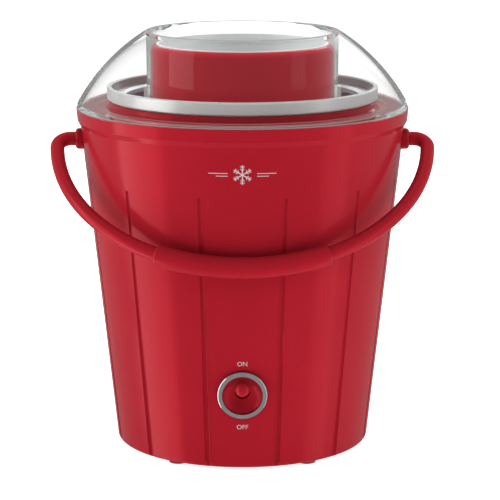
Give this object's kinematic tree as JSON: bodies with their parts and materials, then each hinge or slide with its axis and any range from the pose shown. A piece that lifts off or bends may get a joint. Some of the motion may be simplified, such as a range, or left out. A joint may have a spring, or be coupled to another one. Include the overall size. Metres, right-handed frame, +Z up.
{
  "type": "ice cream maker",
  "caption": "Electric ice cream maker: red stave-grooved barrel with bail handle, toggle switch, turning freezer bowl, held paddle and clear lid.",
  "frame": {"origin": "centre of the feet plane, on the barrel's axis", "axes": "+Z up along the barrel's axis, -Y to the front with the switch, +X to the right seen from the front"},
  "size_m": [0.2612, 0.2294, 0.285],
  "materials": {
    "red_plastic": "gloss",
    "bright_metal": "satin",
    "white_plastic": "satin",
    "steel": "satin",
    "black_plastic": "matte",
    "gear_plastic": "satin",
    "rubber": "matte",
    "aluminium": "satin",
    "brass": "satin",
    "laminations": "matte",
    "copper": "satin",
    "clear_plastic": "gloss",
    "coolant": "matte"
  },
  "bodies": {
    "base": {"outer_barrel": "red_plastic", "handle_bosses": "red_plastic", "inner_well": "red_plastic", "base_plate": "black_plastic", "base_screws": "steel", "rubber_feet": "rubber", "switch_ring": "bright_metal", "switch_cup": "red_plastic", "switch_pivot_pin": "steel", "switch_body": "black_plastic", "switch_nut": "steel", "switch_terminals": "brass", "cord_gland": "rubber", "terminal_block": "black_plastic", "gear_axles": "steel", "gearbox_case": "black_plastic", "gearbox_cover": "black_plastic", "gearbox_screws": "steel", "output_bush": "brass", "shaft_seal": "rubber", "motor_stator": "laminations", "coil_bobbin": "black_plastic", "motor_coil": "copper", "shading_rings": "copper", "motor_bracket_upper": "steel", "motor_bracket_lower": "steel", "motor_bushes": "brass", "motor_screws": "steel", "motor_spacers": "steel"},
    "bail": {"handle_bail": "red_plastic", "handle_clips": "steel", "handle_grip": "red_plastic"},
    "toggle": {"switch_lever": "red_plastic"},
    "rotor": {"motor_rotor": "laminations", "rotor_end_rings": "aluminium", "motor_shaft": "steel", "motor_pinion": "brass", "motor_fan": "black_plastic"},
    "gear_one": {"first_gear": "gear_plastic"},
    "gear_two": {"second_gear": "gear_plastic"},
    "drive": {"output_gear": "gear_plastic", "output_shaft": "steel", "drive_coupling": "gear_plastic", "coupling_clip": "steel"},
    "bowl": {"bowl_outer_wall": "gear_plastic", "bowl_drive_socket": "gear_plastic", "bowl_inner_wall": "aluminium", "bowl_rim_ring": "white_plastic", "bowl_seal": "rubber", "bowl_coolant": "coolant"},
    "paddle": {"paddle_sleeve": "red_plastic", "paddle_frame": "white_plastic"},
    "cover": {"lid": "clear_plastic", "lid_spout": "clear_plastic"}
  },
  "joints": [
    {"name": "bowl_spin", "type": "hinge", "parent": "base", "child": "drive", "pos_m": [0, 0, 0.07], "axis": [0, 0, 1], "continuous": true},
    {"name": "rotor_spin", "type": "hinge", "parent": "base", "child": "rotor", "pos_m": [0.015, 0.037, 0.07], "axis": [0, 0, 1], "continuous": true},
    {"name": "first_gear_spin", "type": "hinge", "parent": "base", "child": "gear_one", "pos_m": [-0.0078, 0.033, 0.07], "axis": [0, 0, 1], "continuous": true},
    {"name": "second_gear_spin", "type": "hinge", "parent": "base", "child": "gear_two", "pos_m": [-0.03248, 0.01875, 0.07], "axis": [0, 0, 1], "continuous": true},
    {"name": "bowl_lift", "type": "slide", "parent": "drive", "child": "bowl", "axis": [0, 0, 1], "range_m": [0, 0.165]},
    {"name": "paddle_hold", "type": "hinge", "parent": "bowl", "child": "paddle", "pos_m": [0, 0, 0.07], "axis": [0, 0, 1], "continuous": true},
    {"name": "lid_lift", "type": "slide", "parent": "paddle", "child": "cover", "axis": [0, 0, 1], "range_m": [0, 0.06]},
    {"name": "handle_swing", "type": "hinge", "parent": "base", "child": "bail", "pos_m": [0, 0, 0.211], "axis": [-1, 0, 0], "range_deg": [0, 243]},
    {"name": "switch_toggle", "type": "hinge", "parent": "base", "child": "toggle", "pos_m": [0, -0.08424, 0.05606], "axis": [1, 0, 0], "range_deg": [0, 41.7]}
  ],
  "couplings": [
    {"joint": "second_gear_spin", "follows": "bowl_spin", "ratio": -4},
    {"joint": "first_gear_spin", "follows": "bowl_spin", "ratio": 15},
    {"joint": "rotor_spin", "follows": "bowl_spin", "ratio": -72},
    {"joint": "paddle_hold", "follows": "bowl_spin", "ratio": -1}
  ]
}
